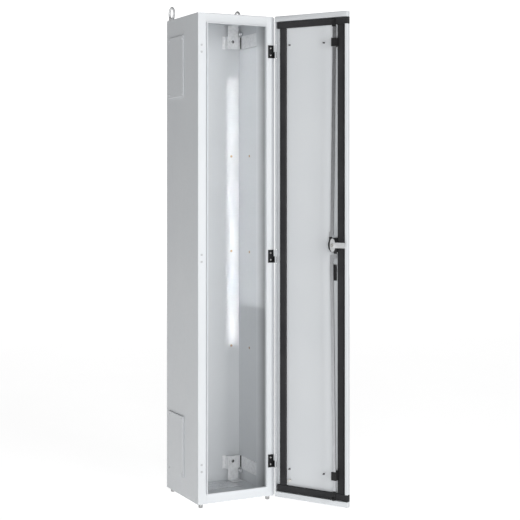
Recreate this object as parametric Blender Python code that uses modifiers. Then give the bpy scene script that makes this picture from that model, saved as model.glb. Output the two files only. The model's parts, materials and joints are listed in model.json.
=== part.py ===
"""Narrow floor-standing switchboard cabinet, with its door held open and its lock rods extended.

Metres, +Z up. The origin is the middle of the floor's underside, the door is on the -Y side and
its hinges are on the right. The door's parts are modelled in the closed place, and their parent
empty on the hinge axis then swings them open.
"""
import math

import bmesh
import bpy
from mathutils import Matrix, Vector

# Body
WIDTH = 0.310
DEPTH = 0.300
HEIGHT = 1.800
SHEET = 0.0015
FOLD_RADIUS = 0.0025
GAP = 0.0003
STILE = 0.0325          # flat front margin beside the rain lip
RAIL = 0.0355           # flat front margin above and below the rain lip
LIP = 0.003             # thickness of the rain lip, a closed hem
LIP_AHEAD = 0.0095
LIP_BEHIND = 0.0055
REAR_RIM = 0.040        # height of the floor's and roof's rear flanges
POST_STANDOFF = 0.0120
POST_FRONT = 0.025
POST_BACK = 0.121

# Cable-entry covers on the sides
COVER_FRONT = 0.131
COVER_BACK = 0.275
COVER_HEIGHT = 0.231
COVER_STANDS = 0.0045
COVER_EDGE = 0.070      # from the floor's underside, or from the roof

# Floor openings
GLAND_HALF_WIDTH = 0.110
GLAND_NEAR = 0.022
GLAND_FAR = 0.118
GLAND_OVERLAP = 0.006

# Mounting brackets in the rear corners, and the rails along the sides
BRACKET_HEIGHT = 0.050
BRACKET_EDGE = 0.047
BRACKET_STANDOFF = 0.020
BRACKET_INNER = 0.080
BRACKET_FACE_FROM = 0.0935
BRACKET_FACE_TO = 0.1412
BRACKET_JOGGLE = 0.004
BRACKET_FOOT = 0.044
BRACKET_CLEAR = 0.0045  # from the foot to the floor's or roof's outer side
BRACKET_HOLE = 0.010    # side of the square hole, which stands on its corner
BRACKET_EYELET = 0.0022
BRACKET_EYELET_STEP = 0.015
RAIL_STANDOFF = 0.0070

# Lifting eyes and feet
EYE_X = 0.1400
EYE_Y = 0.1370
EYE_RING = 0.0225
EYE_WIRE = 0.0045
EYE_COLLAR = 0.0125
EYE_COLLAR_HEIGHT = 0.008
FOOT_X = 0.137
FOOT_Y = 0.132
FOOT_HEIGHT = 0.016
FOOT_RADIUS = 0.0085
FOOT_ROUNDING = 0.003
FOOT_WASHER = 0.0095
FOOT_WASHER_HEIGHT = 0.0015

# Door
DOOR_ANGLE = 121.0      # opened from the closed place, in degrees
DOOR_WIDTH = 0.309
DOOR_CLEAR = 0.001      # top and bottom
DOOR_BACK = 0.0036      # the rim's distance in front of the body's face
DOOR_DEPTH = 0.020
RIM_TOP = 0.020
RIM_FREE = 0.010
RIM_HINGE = 0.006
GASKET_WIDTH = 0.025
GASKET_BACK = 0.010
GASKET_EDGE = 0.0190    # from the door's side edge to the upright strips
GASKET_TOP = 0.0210     # from the door's top or bottom edge to the level strips
GASKET_PROUD = 0.0008

# Hinges
HINGE_X = 0.156
HINGE_AHEAD = 0.013
HINGE_HEIGHTS = {"lower": 0.132, "middle": 0.900, "upper": 1.668}
HINGE_HALF = 0.024
HINGE_BARREL = 0.0038
HINGE_PIN = 0.0020
HINGE_PLAY = 0.0001
LEAF_WIDTH = 0.022
LEAF_INSET = 0.002      # from the body's side
LEAF = 0.0025
LEAF_ARM = 0.0015       # how far the leaf's arm passes the hinge axis
ARM_CLEAR = 0.0005      # from the leaf's arm to the door's edge
KNUCKLE = 0.0024        # thickness of the knuckle's plate, inside the door's side fold
KNUCKLE_NEAR = 0.007
HINGE_SLOT = 0.0053     # half depth of the slot in the door's side fold
HINGE_SLOT_END = 0.003  # its length past the hinge

# Lock
LOCK_X = -0.1018
LOCK_Z = 0.950
BASE_RADIUS = 0.027
BASE_HEIGHT = 0.006
BOSS_X = -0.0989
BOSS_HALF_WIDTH = 0.0194
BOSS_HALF_HEIGHT = 0.0265
SPINDLE = 0.005
SPINDLE_HOLE = 0.009
NECK = 0.003
CAM_HALF_WIDTH = 0.0105
CAM_HALF_HEIGHT = 0.0250
CAM = 0.003
TONGUE_HALF = 0.010
TONGUE_END = -0.1525
CRANK_REACH = 0.008     # the two rod pins stand at 45 degrees, this far along X and Z
CRANK = CRANK_REACH * math.sqrt(2)
CAM_PIN = 0.002
SCREW_HEAD = 0.006      # the cam screw: head radius, its height, shank and socket
SCREW_HEIGHT = 0.003
SCREW_SHANK = 0.0016
SCREW_SOCKET = 0.0025
ROD_WIDTH = 0.013
ROD = 0.003
ROD_NEAR = -0.0068      # the rods' door side, behind the lip's return
GUIDE_X = -0.1075
GUIDE_Z = 0.113
GUIDE_HALF_WIDTH = 0.0105
GUIDE_HALF_HEIGHT = 0.015
ROD_SLANT = math.radians(0.777)
ROD_START = 0.027       # from the cam's pin to the bar's inner end
ROD_END = 0.0580        # from the guide's middle to the bar's outer end
ROD_SLOT_HALF_WIDTH = 0.004
ROD_SLOT_HALF_HEIGHT = 0.0026
CARRIER_FROM = 0.0556   # the roller's carrier, also from the guide's middle
CARRIER_TO = 0.0745
CARRIER = 0.0059
ROLLER = 0.0065
ROLLER_AXLE = 0.003
ROLLER_AT = 0.0815      # from the guide's middle
ROLLER_AHEAD = -0.0131
ROLLER_LENGTH = 0.0094
EARTH_STUD = (0.098, 0.066)

# Handle, outside
DISH_TOP = 0.982
DISH_BOTTOM = 0.812
DISH_HALF_WIDTH = 0.017
DISH_HEIGHT = 0.006
HUB_RADIUS = 0.014
HUB_HEIGHT = 0.009
EAR = 0.003             # thickness of the hub's two ears
EAR_HALF_HEIGHT = 0.0045
LEVER_HALF_WIDTH = 0.0105
LEVER_HALF = 0.00485
LEVER_LENGTH = 0.128
LEVER_PIN = 0.002
KEY_Z = 0.868
KEY_RADIUS = 0.0075
CLAMP_X = -0.0954
CLAMP_Z = 0.849
CLAMP_HALF_HEIGHT = 0.029
CLAMP_HALF_WIDTH = 0.0065
CLAMP_DEPTH = 0.008
CLAMP_HOLE_HALF_WIDTH = 0.004
CLAMP_HOLE_HALF_HEIGHT = 0.020

FINISHES = {            # base colour, metallic, roughness
    "grey_paint": ((0.70, 0.72, 0.72), 0.0, 0.55),
    "zinc": ((0.72, 0.72, 0.70), 1.0, 0.35),
    "steel": ((0.60, 0.60, 0.60), 1.0, 0.30),
    "hinge_black": ((0.02, 0.02, 0.02), 0.0, 0.45),
    "black_plastic": ((0.03, 0.03, 0.03), 0.0, 0.50),
    "black_rubber": ((0.035, 0.035, 0.037), 0.0, 0.85),
}

HALF_W = WIDTH / 2
HALF_D = DEPTH / 2
INNER_X = HALF_W - SHEET - GAP
DOOR_X = DOOR_WIDTH / 2
X, Y, Z = 0, 1, 2


def ahead(distance):
    """The Y of a plane this far in front of the body's face."""
    return -HALF_D - distance


DOOR_SKIN = DOOR_BACK + DOOR_DEPTH - SHEET      # the skin's inner face, in front of the body's face
CAM_NEAR = ROD_NEAR - ROD - GAP
CAM_FAR = CAM_NEAR - CAM


def clear_scene():
    for obj in list(bpy.data.objects):
        bpy.data.objects.remove(obj, do_unlink=True)


def new_collection(name):
    made = bpy.data.collections.new(name)
    bpy.context.scene.collection.children.link(made)
    return made


def new_finish(name):
    colour, metallic, roughness = FINISHES[name]
    material = bpy.data.materials.new(name)
    material.use_nodes = True
    shader = material.node_tree.nodes["Principled BSDF"]
    shader.inputs["Base Color"].default_value = (*colour, 1)
    shader.inputs["Metallic"].default_value = metallic
    shader.inputs["Roughness"].default_value = roughness
    material.diffuse_color = (*colour, 1)
    return material


clear_scene()
PARTS = new_collection("switchboard_cabinet")
CUTTERS = new_collection("cutters")
MATERIALS = {name: new_finish(name) for name in FINISHES}
GROUPS = {}             # the door's objects and cutters, by the empty that carries them
group = None            # where new objects are counted


def add(mesh_builder, name, finish, location=(0, 0, 0)):
    """Turn a bmesh into an object: a part with a finish, or a hidden tool with none."""
    mesh = bpy.data.meshes.new(name)
    mesh_builder.to_mesh(mesh)
    mesh_builder.free()
    obj = bpy.data.objects.new(name, mesh)
    obj.location = location
    if finish:
        mesh.materials.append(MATERIALS[finish])
        PARTS.objects.link(obj)
    else:
        CUTTERS.objects.link(obj)
        obj.hide_render = True
        obj.display_type = "WIRE"
    if group:
        GROUPS.setdefault(group, []).append(obj)
    return obj


def box(name, low, high, finish=None, rounding=0.0):
    low, high = Vector(low), Vector(high)
    shape = bmesh.new()
    bmesh.ops.create_cube(shape, size=1)
    bmesh.ops.scale(shape, vec=high - low, verts=shape.verts)
    obj = add(shape, name, finish, (low + high) / 2)
    if rounding:
        bevel(obj, rounding)
    return obj


def bevel(obj, width, segments=2):
    rounded = obj.modifiers.new("rounding", "BEVEL")
    rounded.width = width
    rounded.segments = segments
    rounded.limit_method = "ANGLE"


def cylinder(name, centre, axis, radius, length, finish=None, sides=24):
    shape = bmesh.new()
    bmesh.ops.create_cone(shape, cap_ends=True, segments=sides, radius1=radius, radius2=radius, depth=length)
    if axis != Z:
        turn = Matrix.Rotation(math.pi / 2, 3, "Y" if axis == X else "X")
        bmesh.ops.rotate(shape, matrix=turn, verts=shape.verts)
    obj = add(shape, name, finish, centre)
    smooth(obj)
    return obj


def smooth(obj):
    obj.data.shade_smooth()
    obj.data.set_sharp_from_angle(angle=math.radians(35))


def cut(obj, *tools):
    for tool in tools:
        combine(obj, tool, "DIFFERENCE")


def join(obj, *tools):
    for tool in tools:
        combine(obj, tool, "UNION")


def combine(obj, tool, operation):
    change = obj.modifiers.new(tool.name, "BOOLEAN")
    change.operation = operation
    change.solver = "EXACT"
    change.object = tool


def folded_sheet(name, profile, along, span, outward, finish, radius=FOLD_RADIUS):
    """A sheet bent at each point of its outer profile, running along one axis.

    outward is the way that the profile's first stretch faces; the thickness goes the other way.
    """
    shape = bmesh.new()
    corners = []
    for point in profile:
        place = list(point)
        place.insert(along, span[0])
        corners.append(shape.verts.new(place))
    edges = [shape.edges.new(pair) for pair in zip(corners, corners[1:])]
    run = bmesh.ops.extrude_edge_only(shape, edges=edges)
    moved = [item for item in run["geom"] if isinstance(item, bmesh.types.BMVert)]
    shift = Vector((0, 0, 0))
    shift[along] = span[1] - span[0]
    bmesh.ops.translate(shape, vec=shift, verts=moved)
    bmesh.ops.recalc_face_normals(shape, faces=shape.faces)
    shape.normal_update()
    first = next(face for face in shape.faces if corners[0] in face.verts)
    if first.normal.dot(Vector(outward)) < 0:
        bmesh.ops.reverse_faces(shape, faces=shape.faces)
    obj = add(shape, name, finish)
    if radius:
        bevel(obj, radius)
    thick = obj.modifiers.new("thickness", "SOLIDIFY")
    thick.thickness = SHEET
    thick.offset = -1
    thick.use_even_offset = True
    return obj


def outline(name, points, low, high, finish=None):
    """A flat outline in X and Z, given thickness from Y = low to Y = high."""
    shape = bmesh.new()
    face = shape.faces.new([shape.verts.new((x, low, z)) for x, z in points])
    thick = bmesh.ops.extrude_face_region(shape, geom=[face])
    moved = [item for item in thick["geom"] if isinstance(item, bmesh.types.BMVert)]
    bmesh.ops.translate(shape, vec=(0, high - low, 0), verts=moved)
    bmesh.ops.recalc_face_normals(shape, faces=shape.faces)
    return add(shape, name, finish)


def make_shell():
    """Side panels with their stiles, roof and floor with their rails, and the back."""
    for side, sign in (("left", -1), ("right", 1)):
        profile = [
            (sign * HALF_W, HALF_D),
            (sign * HALF_W, -HALF_D),
            (sign * (HALF_W - STILE + GAP), -HALF_D),
        ]
        folded_sheet(side + "_side_panel", profile, Z, (0, HEIGHT), (sign, 0, 0), "grey_paint")

    rear = HALF_D - SHEET - GAP
    for name, base, up in (("floor", 0, 1), ("roof", HEIGHT, -1)):
        profile = [
            (rear, base + up * REAR_RIM),
            (rear, base),
            (-HALF_D, base),
            (-HALF_D, base + up * (RAIL - GAP)),
        ]
        panel = folded_sheet(name + "_panel", profile, X, (-INNER_X, INNER_X), (0, 1, 0), "grey_paint")
        for side in (-1, 1):
            ends = sorted((side * (HALF_W - STILE), side * HALF_W))
            corner = box(
                name + "_corner",
                (ends[0], -HALF_D - 0.01, base - 0.05),
                (ends[1], -HALF_D + SHEET + 2 * GAP, base + 0.05),
            )
            cut(panel, corner)
        if name == "floor":
            cut_gland_openings(panel)

    box("back_panel", (-INNER_X, HALF_D - SHEET, 0), (INNER_X, HALF_D, HEIGHT), "grey_paint")


def cut_gland_openings(floor):
    edge = GLAND_OVERLAP
    for place, low, high in (("front", -GLAND_FAR, -GLAND_NEAR), ("rear", GLAND_NEAR, GLAND_FAR)):
        hole = box(
            place + "_gland_opening",
            (-GLAND_HALF_WIDTH + edge, low + edge, -0.01),
            (GLAND_HALF_WIDTH - edge, high - edge, 0.01),
        )
        cut(floor, hole)
        box(
            "gland_plate_" + place,
            (-GLAND_HALF_WIDTH, low, SHEET + GAP),
            (GLAND_HALF_WIDTH, high, 2 * SHEET + GAP),
            "zinc",
        )


def make_front():
    """The rain lip round the opening, and the uprights behind it."""
    side, foot = HALF_W - STILE, RAIL
    lip = box(
        "rain_lip",
        (-side, ahead(LIP_AHEAD), foot),
        (side, ahead(-LIP_BEHIND), HEIGHT - foot),
        "grey_paint",
    )
    inside = box(
        "door_opening",
        (-side + LIP, ahead(LIP_AHEAD + 0.01), foot + LIP),
        (side - LIP, ahead(-LIP_BEHIND - 0.01), HEIGHT - foot - LIP),
    )
    cut(lip, inside)

    face = HALF_W - SHEET - POST_STANDOFF
    for side_name, sign in (("left", -1), ("right", 1)):
        profile = [
            (sign * INNER_X, ahead(-POST_FRONT)),
            (sign * face, ahead(-POST_FRONT)),
            (sign * face, ahead(-POST_BACK)),
            (sign * INNER_X, ahead(-POST_BACK)),
        ]
        span = (SHEET + GAP, HEIGHT - SHEET - GAP)
        folded_sheet(side_name + "_post", profile, Z, span, (0, -1, 0), "grey_paint")


def make_side_covers():
    for side, sign in (("left", -1), ("right", 1)):
        near = HALF_W + GAP
        far = HALF_W + GAP + COVER_STANDS
        for level, low in (("lower", COVER_EDGE), ("upper", HEIGHT - COVER_EDGE - COVER_HEIGHT)):
            ends = sorted((sign * near, sign * far))
            hollow = sorted((sign * (near - 0.01), sign * (far - SHEET)))
            name = "side_cover_{}_{}".format(side, level)
            cover = box(
                name,
                (ends[0], ahead(-COVER_FRONT), low),
                (ends[1], ahead(-COVER_BACK), low + COVER_HEIGHT),
                "grey_paint",
            )
            inside = box(
                name + "_hollow",
                (hollow[0], ahead(-COVER_FRONT) + SHEET, low + SHEET),
                (hollow[1], ahead(-COVER_BACK) - SHEET, low + COVER_HEIGHT - SHEET),
            )
            cut(cover, inside)


def make_brackets():
    """Zinc-plated brackets in the rear corners, and rails along the side walls beside them."""
    back = HALF_D - SHEET - GAP - SHEET - GAP
    face = back - BRACKET_STANDOFF + SHEET
    end, into = BRACKET_CLEAR, BRACKET_EDGE + 0.01
    for level, low, foot_z, web_z in (
        ("lower", BRACKET_EDGE, (end, end + SHEET), (end, into)),
        (
            "upper",
            HEIGHT - BRACKET_EDGE - BRACKET_HEIGHT,
            (HEIGHT - end - SHEET, HEIGHT - end),
            (HEIGHT - into, HEIGHT - end),
        ),
    ):
        for side, sign in (("left", -1), ("right", 1)):
            profile = [
                (sign * BRACKET_INNER, back),
                (sign * (BRACKET_FACE_FROM - 0.002), back),
                (sign * BRACKET_FACE_FROM, face),
                (sign * BRACKET_FACE_TO, face),
                (sign * BRACKET_FACE_TO, face + BRACKET_JOGGLE),
                (sign * (INNER_X - GAP), face + BRACKET_JOGGLE),
            ]
            name = "corner_bracket_{}_{}".format(side, level)
            bracket = folded_sheet(name, profile, Z, (low, low + BRACKET_HEIGHT), (0, -1, 0), "zinc", 0)
            ends = sorted((sign * (BRACKET_FACE_FROM + 0.002), sign * (BRACKET_FACE_TO - 0.002)))
            web = box(name + "_web", (ends[0], face, web_z[0]), (ends[1], face + SHEET, web_z[1]))
            foot = box(
                name + "_foot",
                (ends[0], face - BRACKET_FOOT, foot_z[0]),
                (ends[1], face + SHEET, foot_z[1]),
            )
            middle = (BRACKET_FACE_FROM + BRACKET_FACE_TO) / 2
            hole_z = low + BRACKET_HEIGHT / 2 + 0.004
            hole = box(
                name + "_square_hole",
                (sign * middle - BRACKET_HOLE / 2, face - 0.01, hole_z - BRACKET_HOLE / 2),
                (sign * middle + BRACKET_HOLE / 2, face + 0.01, hole_z + BRACKET_HOLE / 2),
            )
            hole.rotation_euler = (0, math.pi / 4, 0)
            eyelet = cylinder(
                name + "_eyelet",
                (sign * (middle - BRACKET_EYELET_STEP), face, hole_z),
                Y, BRACKET_EYELET, 0.02, sides=16,
            )
            slot = box(
                name + "_slot",
                (sign * middle - 0.010, face - BRACKET_FOOT + 0.014, foot_z[0] - 0.01),
                (sign * middle + 0.010, face - BRACKET_FOOT + 0.021, foot_z[1] + 0.01),
            )
            join(bracket, web, foot)
            cut(bracket, hole, eyelet, slot)

            profile = [
                (sign * INNER_X, low),
                (sign * (INNER_X - RAIL_STANDOFF), low),
                (sign * (INNER_X - RAIL_STANDOFF), low + BRACKET_HEIGHT),
                (sign * INNER_X, low + BRACKET_HEIGHT),
            ]
            span = (ahead(-POST_BACK) + 0.001, face - 0.0180)
            rail = "side_rail_{}_{}".format(side, level)
            folded_sheet(rail, profile, Y, span, (0, 0, -1), "zinc", 0)


def make_lifting_eyes():
    for side, sign in (("left", -1), ("right", 1)):
        collar_z = HEIGHT + GAP + EYE_COLLAR_HEIGHT / 2
        centre = (sign * EYE_X, EYE_Y, HEIGHT + GAP + 0.0015 + EYE_RING + EYE_WIRE)
        eye = cylinder(
            "lifting_eye_" + side, (sign * EYE_X, EYE_Y, collar_z), Z, EYE_COLLAR, EYE_COLLAR_HEIGHT, "zinc"
        )
        join(eye, torus(eye.name + "_ring", centre, EYE_RING, EYE_WIRE))


def torus(name, centre, ring, wire):
    """A ring in the Y-Z plane, as a turned circle."""
    shape = bmesh.new()
    bmesh.ops.create_circle(shape, segments=10, radius=wire)
    bmesh.ops.rotate(shape, matrix=Matrix.Rotation(math.pi / 2, 3, "X"), verts=shape.verts)
    bmesh.ops.translate(shape, vec=(ring, 0, 0), verts=shape.verts)
    obj = add(shape, name, None, centre)
    obj.rotation_euler = (0, math.pi / 2, 0)
    turn = obj.modifiers.new("turn", "SCREW")
    turn.steps = 28
    turn.render_steps = 28
    turn.use_merge_vertices = True
    turn.merge_threshold = 0.00005
    return obj


def make_feet():
    for place, x_sign, y_sign in (
        ("front_left", -1, -1),
        ("front_right", 1, -1),
        ("rear_left", -1, 1),
        ("rear_right", 1, 1),
    ):
        x, y = x_sign * FOOT_X, y_sign * FOOT_Y
        height = FOOT_HEIGHT - GAP
        foot = cylinder("foot_" + place, (x, y, -GAP - height / 2), Z, FOOT_RADIUS, height, "steel")
        bevel(foot, FOOT_ROUNDING, 3)
        washer_z = -GAP - FOOT_WASHER_HEIGHT / 2
        washer = cylinder(foot.name + "_washer", (x, y, washer_z), Z, FOOT_WASHER, FOOT_WASHER_HEIGHT)
        join(foot, washer)


def make_hinges():
    """Each hinge is a leaf on the frame, a knuckle in the door and a pin.

    The leaf's arm passes the door's edge on the outside, and the barrels sit in a slot in its fold.
    """
    global group
    axis_y = ahead(HINGE_AHEAD)
    edge = HALF_W - LEAF_INSET
    fold = DOOR_X - SHEET
    for level, z in HINGE_HEIGHTS.items():
        low, high = z - HINGE_HALF, z + HINGE_HALF
        arm_x = (DOOR_X + ARM_CLEAR, HINGE_X + LEAF_ARM)
        group = None
        leaf = box(
            "hinge_leaf_" + level,
            (edge - LEAF_WIDTH, ahead(GAP + LEAF), low),
            (edge, ahead(GAP), high),
            "hinge_black",
        )
        root = box(
            leaf.name + "_root",
            (edge - 0.001, ahead(GAP + LEAF) + 0.0001, low),
            (arm_x[1], ahead(GAP) - 0.0001, z - GAP),
        )
        arm = box(
            leaf.name + "_arm",
            (arm_x[0], axis_y, low),
            (arm_x[1] - 0.0001, ahead(GAP + 0.001), z - GAP),
        )
        join(leaf, root, arm, barrel(leaf.name, axis_y, low, z - GAP))
        cut(leaf, pin_bore(leaf.name, axis_y, z))
        cylinder(
            "hinge_pin_" + level, (HINGE_X, axis_y, z), Z, HINGE_PIN, 2 * HINGE_HALF + 0.002, "steel", 16
        )

        group = "door_pivot"
        knuckle = box(
            "hinge_knuckle_" + level,
            (fold - GAP - KNUCKLE, ahead(DOOR_SKIN - GAP), z + GAP),
            (fold - GAP, ahead(KNUCKLE_NEAR), high),
            "grey_paint",
        )
        strut = box(
            knuckle.name + "_strut",
            (fold - GAP - 0.001, axis_y - HINGE_PIN, z + GAP),
            (HINGE_X, axis_y + HINGE_PIN, high),
        )
        join(knuckle, strut, barrel(knuckle.name, axis_y, z + GAP, high))
        cut(knuckle, pin_bore(knuckle.name, axis_y, z))
    group = None


def barrel(name, axis_y, low, high):
    return cylinder(
        name + "_barrel", (HINGE_X, axis_y, (low + high) / 2), Z, HINGE_BARREL, high - low, sides=20
    )


def pin_bore(name, axis_y, z):
    return cylinder(name + "_bore", (HINGE_X, axis_y, z), Z, HINGE_PIN + HINGE_PLAY, 0.06, sides=16)


def make_door():
    """A folded pan, with slots for the hinges and notches for the level gasket strips."""
    low, high = DOOR_CLEAR, HEIGHT - DOOR_CLEAR
    front, back = ahead(DOOR_BACK + DOOR_DEPTH), ahead(DOOR_BACK)
    door = box("door_panel", (-DOOR_X, front, low), (DOOR_X, back, high), "grey_paint", 0.0022)
    hollow = box(
        "door_hollow",
        (-DOOR_X + SHEET, front + SHEET, low + SHEET),
        (DOOR_X - SHEET, back - SHEET, high - SHEET),
    )
    mouth = box(
        "door_mouth",
        (-DOOR_X + RIM_FREE, back - 0.004, low + RIM_TOP),
        (DOOR_X - RIM_HINGE, back + 0.01, high - RIM_TOP),
    )
    cut(door, hollow, mouth)
    for z in (low + GASKET_TOP, high - GASKET_TOP - GASKET_WIDTH):
        notch = box(
            "gasket_notch",
            (-DOOR_X - 0.01, front + SHEET + 0.0001, z - 0.0005),
            (-DOOR_X + RIM_FREE + 0.002, back + 0.01, z + GASKET_WIDTH + 0.0005),
        )
        cut(door, notch)
    for z in HINGE_HEIGHTS.values():
        slot = box(
            "hinge_slot",
            (DOOR_X - SHEET - 0.0005, ahead(HINGE_AHEAD) - HINGE_SLOT, z - HINGE_HALF - HINGE_SLOT_END),
            (DOOR_X + 0.01, ahead(HINGE_AHEAD) + HINGE_SLOT, z + HINGE_HALF + HINGE_SLOT_END),
        )
        cut(door, slot)
    spindle_hole = cylinder("spindle_hole", (LOCK_X, front, LOCK_Z), Y, SPINDLE_HOLE, 0.02)
    clamp_hole = box(
        "clamp_hole",
        (CLAMP_X - CLAMP_HOLE_HALF_WIDTH, front - 0.01, CLAMP_Z - CLAMP_HOLE_HALF_HEIGHT),
        (CLAMP_X + CLAMP_HOLE_HALF_WIDTH, front + 0.01, CLAMP_Z + CLAMP_HOLE_HALF_HEIGHT),
    )
    cut(door, spindle_hole, clamp_hole)


def make_gasket():
    low, high = DOOR_CLEAR + GASKET_TOP, HEIGHT - DOOR_CLEAR - GASKET_TOP
    skin, face = ahead(DOOR_SKIN - GAP), ahead(GASKET_BACK)
    for name, bottom in (("gasket_bottom", low), ("gasket_top", high - GASKET_WIDTH)):
        box(
            name,
            (-DOOR_X - GASKET_PROUD, skin, bottom),
            (DOOR_X - RIM_HINGE - 0.0007, face, bottom + GASKET_WIDTH),
            "black_rubber",
        )
    for name, sign in (("gasket_free_side", -1), ("gasket_hinge_side", 1)):
        ends = sorted((sign * (DOOR_X - GASKET_EDGE), sign * (DOOR_X - GASKET_EDGE - GASKET_WIDTH)))
        box(
            name,
            (ends[0], skin, low + GASKET_WIDTH + GAP),
            (ends[1], face, high - GASKET_WIDTH - GAP),
            "black_rubber",
        )


def oval(x, half_width, half_height, steps=28):
    """Points of an oval level with the lock's axis."""
    angles = [2 * math.pi * step / steps for step in range(steps)]
    return [
        (x + half_width * math.cos(angle), LOCK_Z + half_height * math.sin(angle))
        for angle in angles
    ]


def make_lock_body():
    """The lock's base and the rod guides, which stay with the door."""
    skin = ahead(DOOR_SKIN - GAP)
    base = cylinder(
        "lock_base",
        (LOCK_X, skin + BASE_HEIGHT / 2, LOCK_Z),
        Y, BASE_RADIUS, BASE_HEIGHT, "black_plastic", 32,
    )
    boss_outline = oval(BOSS_X, BOSS_HALF_WIDTH, BOSS_HALF_HEIGHT)
    boss = outline("lock_boss", boss_outline, skin + 0.001, ahead(ROD_NEAR + 0.001))
    bore = cylinder("lock_bore", (LOCK_X, skin, LOCK_Z), Y, SPINDLE + 0.0003, 0.1)
    strip = -DOOR_X + GASKET_EDGE + GASKET_WIDTH + GAP
    flat = box(
        "base_flat",
        (strip - 0.03, skin - 0.01, LOCK_Z - 0.04),
        (strip, ahead(GASKET_BACK - GAP), LOCK_Z + 0.04),
    )
    join(base, boss)
    cut(base, bore, flat)

    rod_mid = ahead(ROD_NEAR - ROD / 2)
    for level, z in (("lower", GUIDE_Z), ("upper", HEIGHT - GUIDE_Z)):
        guide = box(
            "rod_guide_" + level,
            (GUIDE_X - GUIDE_HALF_WIDTH, skin, z - GUIDE_HALF_HEIGHT),
            (GUIDE_X + GUIDE_HALF_WIDTH, rod_mid + 0.005, z + GUIDE_HALF_HEIGHT),
            "black_plastic",
        )
        slot = box(
            guide.name + "_slot",
            (GUIDE_X - ROD_WIDTH / 2 - 0.001, rod_mid - ROD / 2 - 0.0005, z - 0.05),
            (GUIDE_X + ROD_WIDTH / 2 + 0.001, rod_mid + ROD / 2 + 0.0005, z + 0.05),
        )
        relief = box(
            guide.name + "_relief",
            (GUIDE_X - 0.0005, skin + 0.004, z - 0.05),
            (GUIDE_X + 0.008, rod_mid - 0.006, z + 0.05),
        )
        over_gasket = box(
            guide.name + "_step",
            (strip - 0.03, skin - 0.01, z - 0.05),
            (strip, ahead(GASKET_BACK - GAP), z + 0.05),
        )
        cut(guide, slot, relief, over_gasket)

    x, z = EARTH_STUD
    stud = cylinder("earth_stud", (x, skin + 0.0075, z), Y, 0.003, 0.015, "steel", 16)
    nut = cylinder("earth_stud_nut", (x, skin + 0.0025, z), Y, 0.0065, 0.005, sides=6)
    join(stud, nut)


def make_handle():
    """Everything that turns with the spindle: hub, cam with its tongue, screw and lever pin."""
    outside = ahead(DOOR_BACK + DOOR_DEPTH)
    hub_back = outside - GAP
    hub_front = hub_back - HUB_HEIGHT
    hub = cylinder(
        "handle_hub",
        (LOCK_X, (hub_back + hub_front) / 2, LOCK_Z),
        Y, HUB_RADIUS, HUB_HEIGHT, "hinge_black", 32,
    )
    shaft_from, shaft_end = hub_back - 0.001, ahead(ROD_NEAR + 0.0007)
    neck_from, neck_end = shaft_end - 0.001, ahead(CAM_FAR) - GAP
    shaft = cylinder(
        "spindle",
        (LOCK_X, (shaft_from + shaft_end) / 2, LOCK_Z),
        Y, SPINDLE, shaft_end - shaft_from,
    )
    neck = cylinder(
        "spindle_neck",
        (LOCK_X, (neck_from + neck_end) / 2, LOCK_Z),
        Y, NECK, neck_end - neck_from,
    )
    screw_bore = cylinder("screw_bore", (LOCK_X, neck_end, LOCK_Z), Y, SCREW_SHANK + GAP, 0.014, sides=16)
    join(hub, shaft, neck)
    pivot_y = lever_axis_y()
    for sign in (-1, 1):
        inner = LEVER_HALF_WIDTH + GAP
        ends = sorted((LOCK_X + sign * inner, LOCK_X + sign * (inner + EAR)))
        ear = box(
            "lever_ear",
            (ends[0], pivot_y, LOCK_Z - EAR_HALF_HEIGHT),
            (ends[1], hub_front + 0.001, LOCK_Z + EAR_HALF_HEIGHT),
        )
        ear_tip = cylinder(
            "lever_ear_tip", ((ends[0] + ends[1]) / 2, pivot_y, LOCK_Z), X, EAR_HALF_HEIGHT, EAR, sides=16
        )
        join(hub, ear, ear_tip)
    lever_bore = cylinder(
        "lever_pin_bore", (LOCK_X, pivot_y, LOCK_Z), X, LEVER_PIN + 0.0001, 0.05, sides=16
    )
    cut(hub, screw_bore, lever_bore)
    cylinder("lever_pin", (LOCK_X, pivot_y, LOCK_Z), X, LEVER_PIN, 2 * (LEVER_HALF_WIDTH + EAR), "steel", 16)

    cam_outline = oval(LOCK_X, CAM_HALF_WIDTH, CAM_HALF_HEIGHT)
    cam = outline("lock_cam", cam_outline, ahead(CAM_NEAR), ahead(CAM_FAR), "zinc")
    tongue = box(
        "cam_tongue",
        (TONGUE_END, ahead(CAM_NEAR) + 0.0002, LOCK_Z - TONGUE_HALF),
        (LOCK_X - NECK - 0.001, ahead(CAM_FAR) - 0.0002, LOCK_Z + TONGUE_HALF),
    )
    join(cam, tongue)
    for sign in (-1, 1):
        pin_y = (ahead(CAM_NEAR) - ROD - 0.0002, ahead(CAM_NEAR) + 0.001)
        pin = cylinder(
            "cam_pin",
            (LOCK_X + sign * CRANK_REACH, sum(pin_y) / 2, LOCK_Z + sign * CRANK_REACH),
            Y, CAM_PIN, pin_y[1] - pin_y[0], sides=16,
        )
        join(cam, pin)
    cut(cam, cylinder("cam_bore", (LOCK_X, ahead(CAM_FAR), LOCK_Z), Y, NECK + 0.0003, 0.02))

    head_y = ahead(CAM_FAR) + GAP
    head_middle = (LOCK_X, head_y + SCREW_HEIGHT / 2, LOCK_Z)
    screw = cylinder("cam_screw", head_middle, Y, SCREW_HEAD, SCREW_HEIGHT, "steel")
    shank = cylinder("cam_screw_shank", (LOCK_X, head_y - 0.002, LOCK_Z), Y, SCREW_SHANK, 0.006, sides=16)
    socket_middle = (LOCK_X, head_y + SCREW_HEIGHT, LOCK_Z)
    socket = cylinder("cam_screw_socket", socket_middle, Y, SCREW_SOCKET, SCREW_HEIGHT, sides=6)
    join(screw, shank)
    cut(screw, socket)


def lever_axis_y():
    return ahead(DOOR_BACK + DOOR_DEPTH + 2 * GAP + HUB_HEIGHT + LEVER_HALF)


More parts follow.
